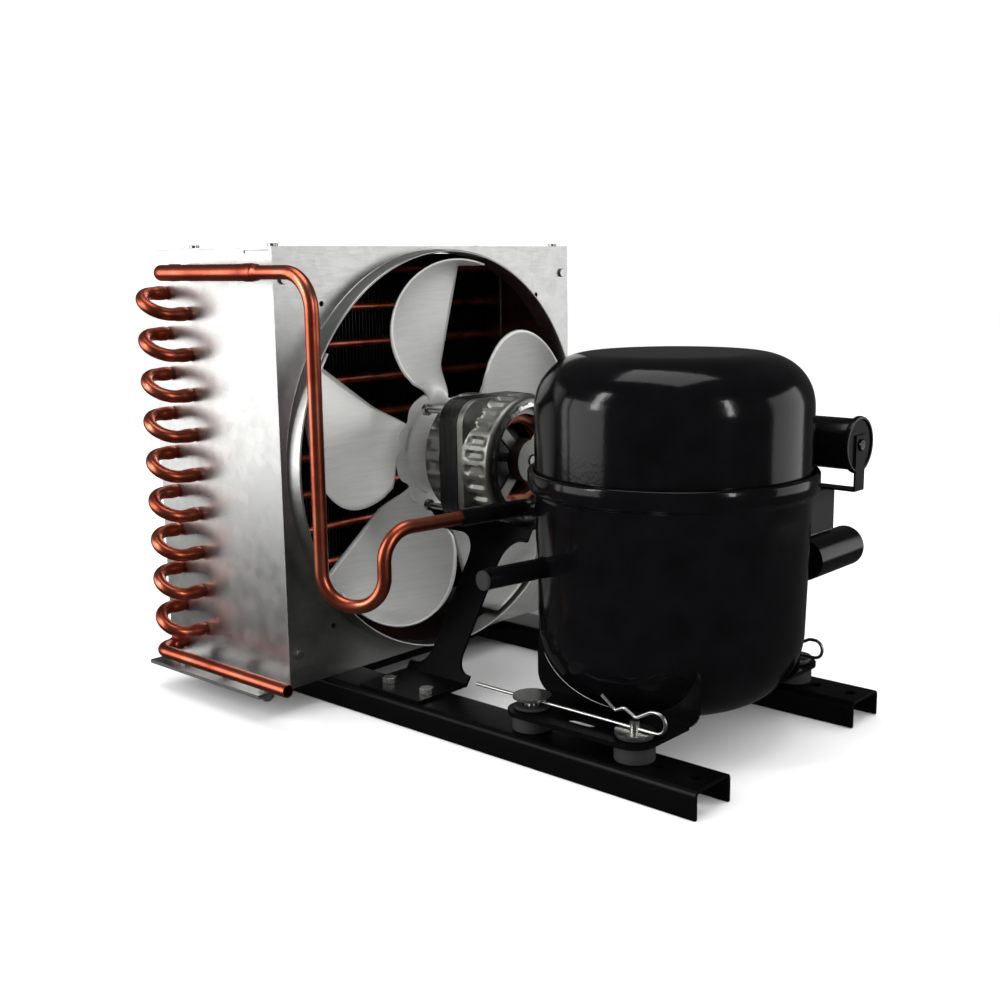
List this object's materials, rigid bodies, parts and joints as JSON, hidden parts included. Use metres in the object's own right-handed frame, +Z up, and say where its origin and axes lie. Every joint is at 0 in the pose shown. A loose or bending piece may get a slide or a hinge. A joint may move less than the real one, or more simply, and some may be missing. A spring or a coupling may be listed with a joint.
{
  "type": "air-cooled condensing unit",
  "caption": "Air-cooled condensing unit on two channel rails: a hermetic compressor, a finned copper coil in a sheet-metal casing and an axial fan with its motor on a stamped bracket.",
  "frame": {"origin": "under the middle of the unit, on the surface that the rails stand on", "axes": "+X along the rails, from the condenser to the compressor; +Y across the rails, towards the side with the capacitors; +Z up"},
  "size_m": [0.424, 0.3253, 0.2838],
  "materials": {
    "black_enamel": "gloss black stove enamel",
    "galvanised_sheet": "bright galvanised steel sheet",
    "black_fins": "thin aluminium fins with a black hydrophilic coat",
    "copper_tube": "drawn copper, copper colour",
    "fan_aluminium": "mill-finish sheet",
    "cast_aluminium": "die cast",
    "zinc_steel": "zinc plated",
    "turned_steel": "turned",
    "laminated_steel": "stacked electrical steel",
    "black_laminations": "stacked electrical steel, black varnish",
    "copper_winding": "enamelled copper wire",
    "grommet_rubber": "moulded",
    "black_plastic": "moulded",
    "black_strap": "black coated strip",
    "cast_iron": "as cast"
  },
  "bodies": {
    "base": {"rail_near": "black_enamel", "rail_far": "black_enamel", "cross_braces": "black_enamel", "casing_floor": "galvanised_sheet", "side_panel_near": "galvanised_sheet", "side_panel_far": "galvanised_sheet", "front_panel": "galvanised_sheet", "top_panel": "galvanised_sheet", "tube_sheet_near": "galvanised_sheet", "tube_sheet_far": "galvanised_sheet", "fin_pack": "black_fins", "coil_tubes": "copper_tube", "return_bends_near": "copper_tube", "return_bends_far": "copper_tube", "inlet_pipe": "copper_tube", "hot_gas_line": "copper_tube", "outlet_pipe": "copper_tube", "motor_core": "black_laminations", "motor_windings": "copper_winding", "motor_front_housing": "cast_aluminium", "motor_rear_housing": "cast_aluminium", "motor_end_cap": "cast_aluminium", "motor_bearings": "turned_steel", "motor_bolts": "zinc_steel", "motor_bracket": "black_enamel", "bracket_screws": "zinc_steel", "casing_screws": "zinc_steel", "flange_screws": "zinc_steel", "compressor_lower_shell": "black_enamel", "compressor_upper_shell": "black_enamel", "mount_foot_near": "black_enamel", "mount_foot_far": "black_enamel", "grommets": "grommet_rubber", "mount_pins": "zinc_steel", "retaining_clips": "zinc_steel", "discharge_stub": "black_enamel", "suction_stub": "black_enamel", "suction_plug": "grommet_rubber", "terminal_cover": "black_plastic", "terminal_pins": "turned_steel", "start_capacitor": "black_plastic", "capacitor_strap": "black_strap", "run_capacitor": "black_plastic", "crankcase": "cast_iron", "suspension_springs": "turned_steel", "compressor_stator": "laminated_steel", "stator_windings": "copper_winding", "cylinder_head": "cast_iron"},
    "fan": {"fan_blades": "fan_aluminium", "fan_hub": "cast_aluminium", "fan_nut": "zinc_steel", "motor_shaft": "turned_steel", "motor_rotor": "laminated_steel"},
    "crank": {"crankshaft": "turned_steel", "compressor_rotor": "laminated_steel"},
    "rod": {"connecting_rod": "turned_steel"},
    "piston": {"piston": "turned_steel"}
  },
  "joints": [
    {"name": "fan_spin", "type": "hinge", "parent": "base", "child": "fan", "pos_m": [-0.05, 0, 0.148], "axis": [1, 0, 0], "continuous": true},
    {"name": "crank_spin", "type": "hinge", "parent": "base", "child": "crank", "pos_m": [0.129, -0.00825, 0.154], "axis": [0, 0, 1], "continuous": true},
    {"name": "rod_swing", "type": "hinge", "parent": "crank", "child": "rod", "pos_m": [0.1335, -0.00825, 0.167], "axis": [0, 0, 1], "continuous": true},
    {"name": "piston_slide", "type": "slide", "parent": "base", "child": "piston", "axis": [1, 0, 0], "range_m": [-0.009, 0]}
  ],
  "couplings": [
    {"joint": "rod_swing", "follows": "crank_spin", "ratio": -1}
  ]
}
